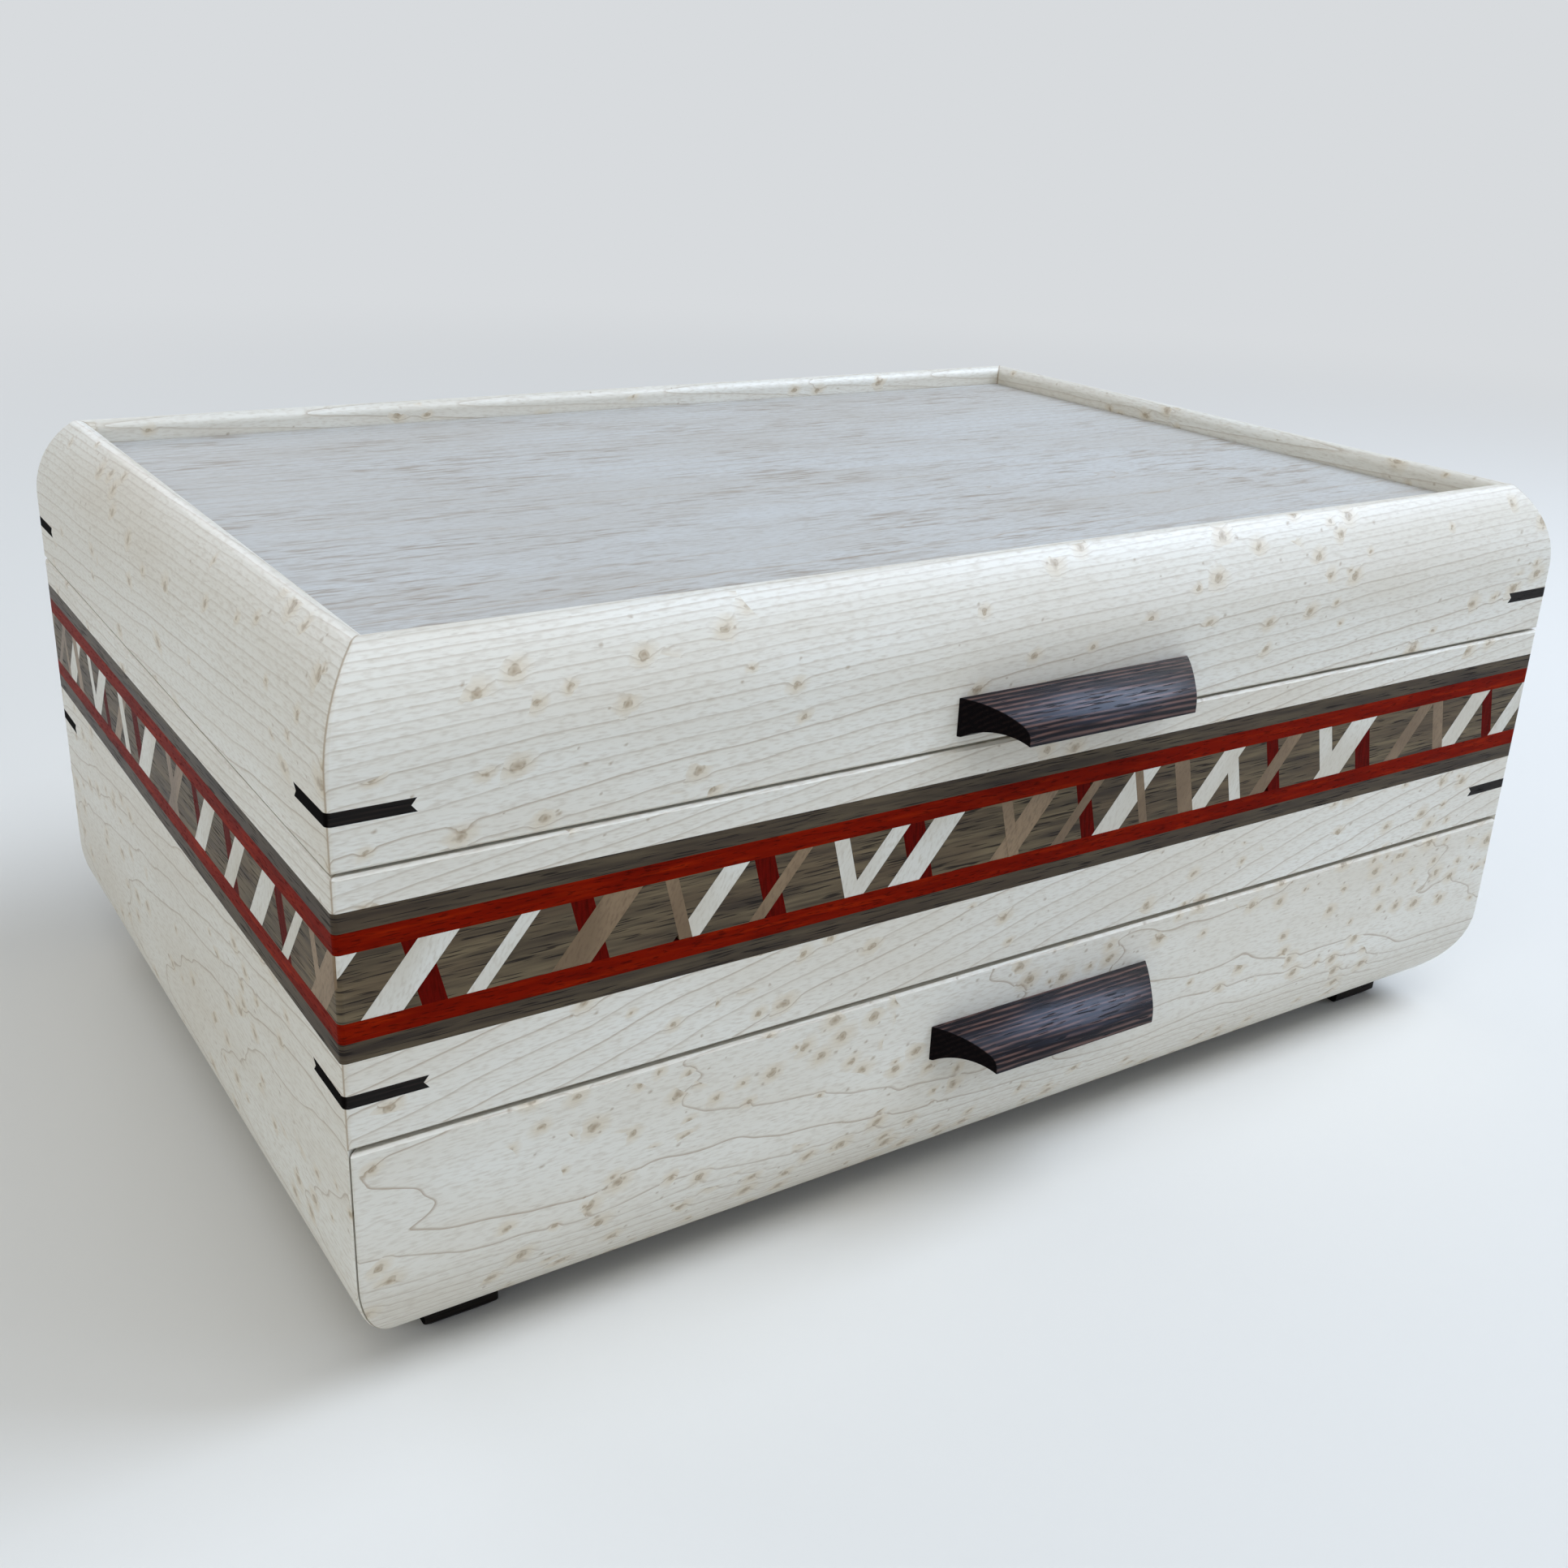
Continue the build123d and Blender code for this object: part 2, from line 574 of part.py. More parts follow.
# Feet under the bottom panel, and their screws
case_bottom = block(-bottom_x, bottom_front, bottom_low, bottom_x, inner_back + bottom_reach, bottom_high)
foot_x = inner_x - foot_side_inset - foot_size / 2
foot_y = {
    "front": bottom_front + foot_end_inset + foot_size / 2,
    "back": inner_back - foot_side_inset - foot_size / 2,
}
foot_stock = Pos(0, 0, bottom_low / 2) * Box(foot_size, foot_size, bottom_low)
foot_block = chamfer(foot_stock.edges().group_by(Axis.Z)[0], foot_chamfer)
screw_sink = extrude(RegularPolygon(foot_screw[1] / 2, screw_flats), amount=foot_screw_sink)
foot_fixing = Rot(180, 0, 0) * screw(*foot_screw, bottom_low - foot_screw_sink + foot_screw_bite)
foot_screws = []
for end, y in foot_y.items():
    for side, x_sign in (("left", -1), ("right", 1)):
        place = Pos(x_sign * foot_x, y, 0)
        fixing = place * Pos(0, 0, foot_screw_sink) * foot_fixing
        nodes[f"foot_{end}_{side}"] = place * (foot_block - screw_sink) - fixing
        foot_screws.append(fixing)
nodes["foot_screws"] = foot_screws
nodes["case_bottom"] = case_bottom - foot_screws

os.makedirs("parts", exist_ok=True)
for name, shape in nodes.items():
    export_step(Compound(shape) if isinstance(shape, list) else shape, f"parts/{name}.step")
print(len(nodes), "nodes written")
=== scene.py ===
import math

import bpy
import numpy as np
from mathutils import Matrix, Vector


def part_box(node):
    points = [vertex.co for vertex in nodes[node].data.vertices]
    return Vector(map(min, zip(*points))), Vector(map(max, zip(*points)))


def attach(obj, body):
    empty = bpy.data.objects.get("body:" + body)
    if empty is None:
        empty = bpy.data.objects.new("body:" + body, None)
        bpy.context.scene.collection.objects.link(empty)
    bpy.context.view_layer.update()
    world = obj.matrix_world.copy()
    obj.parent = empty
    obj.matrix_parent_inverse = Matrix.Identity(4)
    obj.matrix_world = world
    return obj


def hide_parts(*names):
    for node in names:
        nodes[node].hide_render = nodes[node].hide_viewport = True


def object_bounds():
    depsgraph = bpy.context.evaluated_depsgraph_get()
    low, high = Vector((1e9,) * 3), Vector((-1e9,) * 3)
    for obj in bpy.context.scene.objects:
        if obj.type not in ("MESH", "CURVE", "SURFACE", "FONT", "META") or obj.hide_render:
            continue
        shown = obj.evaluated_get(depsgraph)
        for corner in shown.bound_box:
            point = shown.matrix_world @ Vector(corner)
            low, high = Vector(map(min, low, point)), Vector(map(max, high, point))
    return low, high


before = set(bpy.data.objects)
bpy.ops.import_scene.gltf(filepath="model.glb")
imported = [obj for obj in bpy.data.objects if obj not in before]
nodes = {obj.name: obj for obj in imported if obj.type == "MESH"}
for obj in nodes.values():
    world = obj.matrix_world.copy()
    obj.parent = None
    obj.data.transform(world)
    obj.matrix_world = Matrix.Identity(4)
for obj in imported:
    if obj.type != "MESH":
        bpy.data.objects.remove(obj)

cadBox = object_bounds()
mm = 0.001


def linear(code):
    # sRGB hex to linear red, green, blue and alpha
    parts = np.array([int(code[start:start + 2], 16) for start in (1, 3, 5)]) / 255
    light = np.where(parts <= 0.04045, parts / 12.92, ((parts + 0.055) / 1.055) ** 2.4)
    return (*light.tolist(), 1.0)


def addNode(tree, kind, inputs, **settings):
    # an input is a value, a node (its first output) or a pair of node and output
    node = tree.nodes.new("ShaderNode" + kind)
    for name, value in settings.items():
        setattr(node, name, value)
    for key, value in inputs.items():
        source, output = value if isinstance(value, tuple) and len(value) == 2 else (value, 0)
        if isinstance(source, bpy.types.Node):
            tree.links.new(source.outputs[output], node.inputs[key])
        else:
            node.inputs[key].default_value = value
    return node


def newMaterial(name, **constants):
    material = bpy.data.materials.new(name)
    material.use_nodes = True
    tree = material.node_tree
    shader = tree.nodes["Principled BSDF"]
    for key, value in constants.items():
        shader.inputs[key].default_value = value
    return material, tree, shader


def layColours(tree, base, layers):
    # each layer is a colour that covers the ones below it by a share from 0 to 1
    for colour, share in layers:
        base = (addNode(tree, "Mix", {0: share, 6: base, 7: linear(colour)}, data_type="RGBA"), 2)
    return base


def streaks(tree, point, size, low, high, most=1.0, detail=1.0):
    # soft noise with features of the given size in mm along each axis: 0 below low, most above high. Pores and
    # scratches get a few times their real width, because finer ones wouldn't show
    place = addNode(tree, "Mapping", {"Vector": point, "Scale": size}, vector_type="TEXTURE")
    noise = addNode(tree, "TexNoise", {"Vector": place, "Scale": 1.0, "Detail": detail})
    return addNode(tree, "MapRange", {0: noise, 1: low, 2: high, 4: most})


def addUp(tree, start, terms):
    # start plus each source times its factor
    for source, factor in terms:
        start = addNode(tree, "Math", {0: source, 1: factor, 2: start}, operation="MULTIPLY_ADD")
    return start


def finishSurface(tree, shader, colour, roughness, relief, depth):
    # colour, roughness and a relief of the given depth in mm, all from the material's own pattern
    tree.links.new(colour[0].outputs[colour[1]], shader.inputs["Base Color"])
    tree.links.new(roughness.outputs[0], shader.inputs["Roughness"])
    bump = addNode(tree, "Bump", {"Height": relief, "Strength": 1.0, "Distance": depth * mm})
    tree.links.new(bump.outputs[0], shader.inputs["Normal"])


# Where the mitres and the band lie
leftFace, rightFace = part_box("case_left_side")[0].x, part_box("case_right_side")[1].x
frontFace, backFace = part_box("case_front_rail")[0].y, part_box("case_back")[1].y
boxMid = ((leftFace + rightFace) / 2, (frontFace + backFace) / 2)
mitreSkew = ((rightFace - leftFace) - (backFace - frontFace)) / 2
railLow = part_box("case_front_rail")[0].z
bandLow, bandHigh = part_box("front_band_maple")
bandMiddle = (bandLow.z + bandHigh.z) / 2
bandCore = bandHigh.z - bandLow.z

# Turns of a board in its tree: the grain along x, the way across its face along y, its depth along z
grainTurns = {
    "x upright": (math.pi / 2, 0, 0),
    "y upright": (math.pi / 2, 0, math.pi / 2),
    "x flat": (0, 0, 0),
    "y flat": (0, 0, math.pi / 2),
}

oiledIor, waxedIor = 1.47, 1.5

mapleLook = dict(
    cream="#DFDDD4", tan="#CFC7B7", fleck="#C4BBAC", line="#99846B", pore="#93836F",
    halo="#CDBFA6", eye="#9C8A72", eyeRim="#7C6A54", seam="#A28F78",
    # cells in mm, and the least and most radius of an eye as a share of its cell
    eyeCell=(8.0, 5.4), eyeSize=(0.06, 0.17), speckCell=(4.4, 2.9), speckSize=(0.08, 0.17), eyeTilt=24.0,
    lineWidth=0.5, coreShare=0.85, haloShare=0.7, speckShare=0.65, seamShare=0.8, roughness=0.36, relief=0.02,
)
# the panel is partly greyer stock and partly painted shade: its colours are darkened and greyed so the flat
# top reads darker than the rails. It is sanded to a duller finish
greyShadedPanelLook = {
    **mapleLook, "cream": "#BABBB9", "tan": "#ADA9A1", "fleck": "#A59E95", "eye": "#8A7C6C",
    "roughness": 0.48,
}


def ringField(tree, point, climb, swirl):
    # distance from the heart line, plus a climb along the grain and slow swells
    along = addNode(tree, "SeparateXYZ", {0: point})
    radial = addNode(tree, "VectorMath", {0: point, 1: (0, 1, 1)}, operation="MULTIPLY")
    radius = (addNode(tree, "VectorMath", {0: radial}, operation="LENGTH"), 1)
    swell = streaks(tree, point, (70, 22, 300), 0.0, 1.0, 1.0, 2.0)
    return addUp(tree, radius, ((along, climb), (swell, swirl)))


def eyeCells(tree, point, cell, chance, least, most):
    # tilted cells of the given size in mm, of which a share holds an eye: whether it does, how far out from
    # its middle a spot lies in eye radii, and the eye's radius as a share of its cell
    wander = addNode(tree, "TexNoise", {"Vector": point, "Scale": 0.6, "Detail": 1.0})
    place = addNode(tree, "Mapping", {
        "Vector": point, "Rotation": (0, 0, math.radians(mapleLook["eyeTilt"])), "Scale": (*cell, 1.0),
    }, vector_type="TEXTURE")
    place = addNode(tree, "VectorMath", {
        0: (wander, 1), 1: (0.22, 0.22, 0), 2: place,
    }, operation="MULTIPLY_ADD")
    cells = addNode(tree, "TexVoronoi", {"Vector": place, "Scale": 1.0}, voronoi_dimensions="2D")
    luck = addNode(tree, "SeparateColor", {0: (cells, 1)})
    present = addNode(tree, "Math", {0: luck, 1: chance}, operation="LESS_THAN")
    size = addNode(tree, "MapRange", {0: (luck, 1), 3: least, 4: most})
    reach = addNode(tree, "Math", {0: cells, 1: size}, operation="DIVIDE")
    return present, reach, size


def birdseyeMaple(name, grain, heart, ring, climb, swirl, eyes, dashes=0.0, mitred=False, look=mapleLook):
    # bird's-eye maple, planed and oiled: satin cream with thin tan growth lines that bend round small brown
    # eyes. The lines are the tree's rings, cut by the board's own surface: distance from the heart line over
    # ring width
    material, tree, shader = newMaterial(name, IOR=oiledIor)
    texture = addNode(tree, "TexCoord", {})
    place = (texture, "Object")
    point = addNode(tree, "Mapping", {
        "Vector": place, "Location": [part * mm for part in heart], "Rotation": grainTurns[grain],
        "Scale": (mm, mm, mm),
    }, vector_type="TEXTURE")
    # the field of rings, and how steeply it rises on the surface, so that a line keeps its width however flat
    # the cut
    field = ringField(tree, point, climb, swirl)
    facing = addNode(tree, "Mapping", {
        "Vector": (texture, "Normal"), "Rotation": grainTurns[grain],
    }, vector_type="TEXTURE")
    sideways = addNode(tree, "VectorMath", {0: (1, 0, 0), 1: facing}, operation="CROSS_PRODUCT")
    sideways = addNode(tree, "VectorMath", {0: sideways}, operation="NORMALIZE")
    steps = []
    for way in (sideways, (1, 0, 0)):
        beside = addNode(tree, "VectorMath", {0: point, 1: way}, operation="ADD")
        beyond = ringField(tree, beside, climb, swirl)
        steps.append(addNode(tree, "Math", {0: beyond, 1: field}, operation="SUBTRACT"))
    steepness = addNode(tree, "CombineXYZ", {0: steps[0], 1: steps[1], 2: 0.04})
    steepness = (addNode(tree, "VectorMath", {0: steepness}, operation="LENGTH"), 1)
    spacing = addNode(tree, "Math", {0: ring, 1: steepness}, operation="DIVIDE")
    # eyes with a soft brown core, a broken rim and a tan halo, and specks among them. They run into the board,
    # so its edges show none
    broadSide = (addNode(tree, "SeparateXYZ", {0: facing}), 2)
    broadSide = addNode(tree, "Math", {0: broadSide}, operation="ABSOLUTE")
    broadSide = addNode(tree, "MapRange", {0: broadSide, 1: 0.2, 2: 0.55, 4: eyes})
    cluster = streaks(tree, point, (55, 22, 300), 0.38, 0.64)
    cluster = addNode(tree, "Math", {0: cluster, 1: broadSide}, operation="MULTIPLY")
    present, reach, size = eyeCells(tree, point, look["eyeCell"], cluster, *look["eyeSize"])
    core = addNode(tree, "MapRange", {0: reach, 1: 0.2, 2: 1.25, 3: present, 4: 0.0})
    core = addNode(tree, "Math", {0: core, 1: look["coreShare"]}, operation="MULTIPLY")
    inner = addNode(tree, "MapRange", {0: reach, 1: 0.6, 2: 0.95, 3: 0.0, 4: present})
    outer = addNode(tree, "MapRange", {0: reach, 1: 0.95, 2: 1.35, 3: 0.5, 4: 0.0})
    broken = streaks(tree, point, (1.6, 1.2, 3), 0.4, 0.6)
    eyeRim = addNode(tree, "Math", {0: inner, 1: outer}, operation="MULTIPLY")
    eyeRim = addNode(tree, "Math", {0: eyeRim, 1: broken}, operation="MULTIPLY")
    halo = addNode(tree, "MapRange", {0: reach, 1: 0.8, 2: 3.8, 3: present, 4: 0.0})
    halo = addNode(tree, "Math", {0: halo, 1: look["haloShare"]}, operation="MULTIPLY")
    few = addNode(tree, "Math", {0: cluster, 1: 0.4}, operation="MULTIPLY")
    speckPresent, speckReach = eyeCells(tree, point, look["speckCell"], few, *look["speckSize"])[:2]
    specks = addNode(tree, "MapRange", {0: speckReach, 1: 0.2, 2: 1.2, 3: speckPresent, 4: 0.0})
    specks = addNode(tree, "Math", {0: specks, 1: look["speckShare"]}, operation="MULTIPLY")
    # rings bent by ripples and, round each eye, by up to its own size
    pucker = addNode(tree, "MapRange", {
        0: reach, 1: 0.0, 2: 4.5, 3: present, 4: 0.0,
    }, interpolation_type="SMOOTHSTEP")
    pucker = addNode(tree, "Math", {0: pucker, 1: size}, operation="MULTIPLY")
    pucker = addNode(tree, "Math", {0: pucker, 1: steepness}, operation="MULTIPLY")
    ripple = streaks(tree, point, (13, 5, 60), 0.0, 1.0)
    bent = addUp(tree, field, ((ripple, 0.35), (pucker, 12.0)))
    years = addNode(tree, "Math", {0: bent, 1: ring}, operation="DIVIDE")
    phase = addNode(tree, "Math", {0: years}, operation="FRACT")
    year = addNode(tree, "TexWhiteNoise", {
        "W": addNode(tree, "Math", {0: years}, operation="FLOOR"),
    }, noise_dimensions="1D")
    # a line is sharp on one side and fades into the year's late wood on the other. Close lines are fainter
    behind = addNode(tree, "Math", {0: phase, 1: spacing}, operation="MULTIPLY")
    ahead = addNode(tree, "Math", {0: spacing, 1: behind}, operation="SUBTRACT")
    width = addNode(tree, "Math", {0: spacing, 1: 0.3}, operation="MULTIPLY")
    width = addNode(tree, "Math", {0: width, 1: look["lineWidth"]}, operation="MINIMUM")
    strength = addNode(tree, "MapRange", {0: year, 3: 0.3, 4: 0.75})
    openness = addNode(tree, "MapRange", {0: spacing, 1: 1.2, 2: 4.5, 3: 0.45, 4: 1.0})
    strength = addNode(tree, "Math", {0: strength, 1: openness}, operation="MULTIPLY")
    late = addNode(tree, "MapRange", {0: ahead, 1: 0.0, 2: width, 3: strength, 4: 0.0})
    early = addNode(tree, "MapRange", {0: behind, 1: 0.0, 2: 0.14, 3: strength, 4: 0.0})
    line = addNode(tree, "Math", {0: late, 1: early}, operation="MAXIMUM")
    shade = addNode(tree, "MapRange", {0: ahead, 1: 0.0, 2: 2.6, 3: 0.3, 4: 0.0})
    # tone, the shimmer of cut fibres, short pores and, on flat-sawn faces, brown dashes along the grain
    blotch = streaks(tree, point, (90, 26, 200), 0.35, 0.75, 0.8, 3.0)
    fleck = streaks(tree, point, (2.4, 0.5, 1.4), 0.46, 0.74, 0.6)
    pores = streaks(tree, point, (2.8, 0.36, 0.9), 0.66, 0.74, 0.2)
    patch = streaks(tree, point, (42, 20, 300), 0.36, 0.6, dashes)
    dash = streaks(tree, point, (10, 1.3, 60), 0.5, 0.68, 1.0, 2.0)
    dash = addNode(tree, "Math", {0: dash, 1: patch}, operation="MULTIPLY")
    layers = [
        (look["tan"], blotch), (look["tan"], shade), (look["fleck"], fleck), (look["halo"], halo),
        (look["line"], line), (look["eye"], dash), (look["eye"], core), (look["eye"], specks),
        (look["eyeRim"], eyeRim), (look["pore"], pores),
    ]
    if mitred:
        # glue line: within a quarter of a millimetre of the mitre plane, where |x| and |y| differ by the skew.
        # The drawer front isn't glued to the sides
        across = addNode(tree, "VectorMath", {0: place, 1: (0, boxMid[1], 0)}, operation="SUBTRACT")
        corner = addNode(tree, "VectorMath", {0: across}, operation="ABSOLUTE")
        corner = addNode(tree, "SeparateXYZ", {0: corner})
        away = addUp(tree, -mitreSkew, (((corner, 0), 1.0), ((corner, 1), -1.0)))
        away = addNode(tree, "Math", {0: away}, operation="ABSOLUTE")
        glued = addNode(tree, "SeparateXYZ", {0: across})
        above = addNode(tree, "Math", {0: (glued, 2), 1: railLow}, operation="GREATER_THAN")
        glued = addNode(tree, "Math", {0: (glued, 1), 1: 0.0}, operation="GREATER_THAN")
        glued = addNode(tree, "Math", {0: above, 1: glued}, operation="MAXIMUM")
        seam = addNode(tree, "MapRange", {0: away, 1: 0.1 * mm, 2: 0.4 * mm, 3: look["seamShare"], 4: 0.0})
        seam = addNode(tree, "Math", {0: seam, 1: glued}, operation="MULTIPLY")
        layers.append((look["seam"], seam))
    colour = layColours(tree, linear(look["cream"]), layers)
    rough = addNode(tree, "MapRange", {0: fleck, 3: look["roughness"], 4: look["roughness"] + 0.16})
    relief = addUp(tree, 0.0, ((line, -0.6), (eyeRim, -1.0), (pores, -1.0)))
    finishSurface(tree, shader, colour, rough, relief, look["relief"])
    return material


# Boards: the heart line of the tree each was cut from, in mm on this box, the ring width, and how far the
# lines climb along the board and swirl
boards = {
    "lid_front_rail": dict(
        grain="x upright", heart=(0, -208, 85), ring=1.7, climb=-0.03, swirl=1.5, eyes=0.4, mitred=True,
    ),
    "lid_back_rail": dict(
        grain="x upright", heart=(510, 218, 86), ring=1.7, climb=0.03, swirl=1.6, eyes=0.4, mitred=True,
    ),
    "lid_left_rail": dict(
        grain="y upright", heart=(-268, 130, 82), ring=1.7, climb=0.03, swirl=1.7, eyes=0.28, mitred=True,
    ),
    "lid_right_rail": dict(
        grain="y upright", heart=(268, 700, 84), ring=1.7, climb=0.02, swirl=1.7, eyes=0.4, mitred=True,
    ),
    # the panel's darker grey look is partly a greyer board and partly painted shade
    "lid_panel": dict(
        grain="x flat", heart=(900, -40, 420), ring=1.5, climb=0.004, swirl=1.6, eyes=0.0, dashes=0.75,
        look=greyShadedPanelLook,
    ),
    "case_front_rail": dict(
        grain="x upright", heart=(60, -260, 20), ring=1.6, climb=-0.075, swirl=2.2, eyes=0.5, mitred=True,
    ),
    "case_back": dict(
        grain="x upright", heart=(240, 250, 40), ring=1.5, climb=0.03, swirl=4.0, eyes=0.6, mitred=True,
    ),
    "case_left_side": dict(
        grain="y upright", heart=(-290, 330, 36), ring=1.5, climb=0.03, swirl=3.4, eyes=0.5, mitred=True,
    ),
    "case_right_side": dict(
        grain="y upright", heart=(290, 450, 48), ring=1.5, climb=0.03, swirl=4.0, eyes=0.5, mitred=True,
    ),
    "drawer_front": dict(
        grain="x upright", heart=(150, -213, 52), ring=1.4, climb=-0.02, swirl=5.5, eyes=0.85,
    ),
}
plainBoards = {
    "compartment_floor": "x flat", "case_bottom": "x flat", "drawer_bottom": "x flat",
    "drawer_back": "x upright", "drawer_left_side": "y upright", "drawer_right_side": "y upright",
    "drawer_runner_left": "y flat", "drawer_runner_right": "y flat",
}


def dress(name, material):
    piece = nodes[name]
    if not piece.material_slots:
        piece.data.materials.append(material)
    for holder in piece.material_slots:
        holder.material = material


for name, board in boards.items():
    dress(name, birdseyeMaple(f"birdseye_maple_{name}", **board))
for index, (name, grain) in enumerate(plainBoards.items()):
    heart = (310.0 * index, 230.0 + 40 * index, 260.0 + 15 * index)
    dress(name, birdseyeMaple(
        f"plain_maple_{name}", grain=grain, heart=heart, ring=2.2, climb=0.004, swirl=1.5, eyes=0.04,
    ))
print("boards dressed", len(boards) + len(plainBoards))


def bandPoint(tree, lean=0.0):
    # x plus y runs along every side of the box, so one wood serves all four. A lean shears it along a slat
    place = (addNode(tree, "TexCoord", {}), "Object")
    stretch = math.sqrt(2) / mm
    point = addNode(tree, "Mapping", {
        "Vector": place, "Rotation": (0, 0, -math.pi / 4), "Scale": (stretch, stretch, 1 / mm),
    })
    if lean:
        axes = addNode(tree, "SeparateXYZ", {0: point})
        upright = addUp(tree, axes, (((axes, 2), -math.tan(math.radians(lean))),))
        point = addNode(tree, "CombineXYZ", {0: upright, 1: (axes, 1), 2: (axes, 2)})
    return point


def inCore(tree, point):
    # 1 between the padauk lines, where the slats lie, and 0 on the lines
    height = addNode(tree, "SeparateXYZ", {0: point})
    fromMiddle = addNode(tree, "Math", {0: (height, 2), 1: bandMiddle / mm}, operation="SUBTRACT")
    fromMiddle = addNode(tree, "Math", {0: fromMiddle}, operation="ABSOLUTE")
    return addNode(tree, "Math", {0: fromMiddle, 1: bandCore / mm / 2}, operation="LESS_THAN")


walnutLook = dict(
    dark="#3C332A", light="#75674F", warm="#5A4B3A", line="#2C2521", pore="#1C1714",
    lineShare=0.5, roughness=0.42, gloss=0.12, relief=0.05,
)


def walnut(look=walnutLook):
    # black walnut, oiled: grey brown with darker bands along the grain and long thin open pores. The lines,
    # cut from the heart of the plank, are darker than the ground under the slats
    material, tree, shader = newMaterial("walnut_oiled", IOR=oiledIor)
    shader.inputs["Specular IOR Level"].default_value = look["gloss"]
    point = bandPoint(tree)
    bands = streaks(tree, point, (60, 40, 2.4), 0.3, 0.7, 1.0, 3.0)
    warm = streaks(tree, point, (45, 30, 7), 0.45, 0.65, 0.6)
    fine = streaks(tree, point, (60, 20, 0.7), 0.5, 0.68, 0.6, 2.0)
    pores = streaks(tree, point, (34, 9, 0.34), 0.58, 0.66, 0.85)
    deep = addNode(tree, "MapRange", {0: inCore(tree, point), 3: look["lineShare"], 4: 0.0})
    colour = layColours(tree, linear(look["light"]), [
        (look["dark"], bands), (look["warm"], warm), (look["dark"], fine), (look["line"], deep),
        (look["pore"], pores),
    ])
    rough = addNode(tree, "MapRange", {0: pores, 3: look["roughness"], 4: look["roughness"] + 0.25})
    relief = addUp(tree, 0.0, ((pores, -1.0),))
    finishSurface(tree, shader, colour, rough, relief, look["relief"])
    return material


padaukLook = dict(
    line="#741202", slat="#5C0A04", streak="#580902", glow="#922404", pore="#3C0602",
    roughness=0.44, gloss=0.02, relief=0.04,
)


def padauk(lean, look=padaukLook):
    # padauk, oiled: deep red with dark streaks along the grain and fine pores. The slats, cut across the
    # plank, look darker than the lines, and their streaks follow their lean
    material, tree, shader = newMaterial("padauk_oiled", IOR=oiledIor)
    shader.inputs["Specular IOR Level"].default_value = look["gloss"]
    along, slanted = bandPoint(tree), bandPoint(tree, lean)
    isSlat = inCore(tree, along)
    glow = streaks(tree, along, (30, 20, 1.2), 0.5, 0.72, 0.7, 2.0)
    bands = streaks(tree, along, (34, 24, 1.6), 0.46, 0.74, 0.85, 3.0)
    pores = streaks(tree, along, (7, 3, 0.33), 0.58, 0.66, 0.6)
    grain = streaks(tree, slanted, (0.8, 0.8, 14), 0.42, 0.7, 0.8, 2.0)
    grain = addNode(tree, "Math", {0: grain, 1: isSlat}, operation="MULTIPLY")
    colour = layColours(tree, linear(look["line"]), [
        (look["glow"], glow), (look["streak"], bands), (look["pore"], pores), (look["slat"], isSlat),
        (look["pore"], grain),
    ])
    rough = addNode(tree, "MapRange", {0: pores, 3: look["roughness"], 4: look["roughness"] + 0.2})
    relief = addUp(tree, 0.0, ((pores, -1.0), (grain, -0.4)))
    finishSurface(tree, shader, colour, rough, relief, look["relief"])
    return material


slatLook = dict(roughness=0.38, gloss=0.4, relief=0.01)


def slatWood(name, lean, pale, deep, streak, look=slatLook):
    # close-grained slat, oiled: an even tone that shifts from slat to slat, and faint streaks along its lean
    material, tree, shader = newMaterial(name, IOR=oiledIor)
    shader.inputs["Specular IOR Level"].default_value = look["gloss"]
    point = bandPoint(tree, lean)
    tone = streaks(tree, point, (17, 17, 60), 0.35, 0.65)
    grain = streaks(tree, point, (0.9, 0.9, 16), 0.48, 0.75, 0.55, 2.0)
    mottle = streaks(tree, point, (1.6, 1.6, 2.2), 0.5, 0.8, 0.3, 2.0)
    colour = layColours(tree, linear(pale), [(deep, tone), (streak, grain), (deep, mottle)])
    rough = addNode(tree, "MapRange", {0: grain, 3: look["roughness"], 4: look["roughness"] + 0.12})
    finishSurface(tree, shader, colour, rough, grain, look["relief"])
    return material


# Seen from outside, leaning slats rise to the right and steep ones to the left, so along x plus y the lean
# changes sign at the back and on the left
slatLean = dict(leaning=39.5, steep=-14.0)
slatColours = dict(
    maple=("#D6D4CB", "#C6C0B2", "#B2A897"),
    cherry=("#8A7357", "#6C573E", "#543F2C"),
)
for sides, turn in ((("front", "right"), 1), (("back", "left"), -1)):
    bandWoods = {
        "walnut": walnut(),
        "padauk": padauk(turn * slatLean["steep"]),
        "maple": slatWood("maple_slat_oiled", turn * slatLean["leaning"], *slatColours["maple"]),
        "cherry": slatWood("cherry_slat_oiled", turn * slatLean["leaning"], *slatColours["cherry"]),
    }
    for side in sides:
        for wood, material in bandWoods.items():
            dress(f"{side}_band_{wood}", material)
print("band dressed")

# the pulls' gloss is tinted pale blue, a painted skylight reflection; the keys' tint is plain white
pullWood = dict(
    dark="#150F0F", stripe="#6A5048", pore="#0B0808", reflectionTint="#D2E2FF", stripeWidth=0.75, stripeShare=0.9,
    roughness=0.28, gloss=0.2, endGloss=0.02, relief=0.05,
)
keyWood = dict(
    dark="#0F0C0A", stripe="#241C18", pore="#070505", reflectionTint="#FFFFFF", stripeWidth=0.5, stripeShare=0.7,
    roughness=0.5, gloss=0.12, endGloss=0.02, relief=0.05,
)


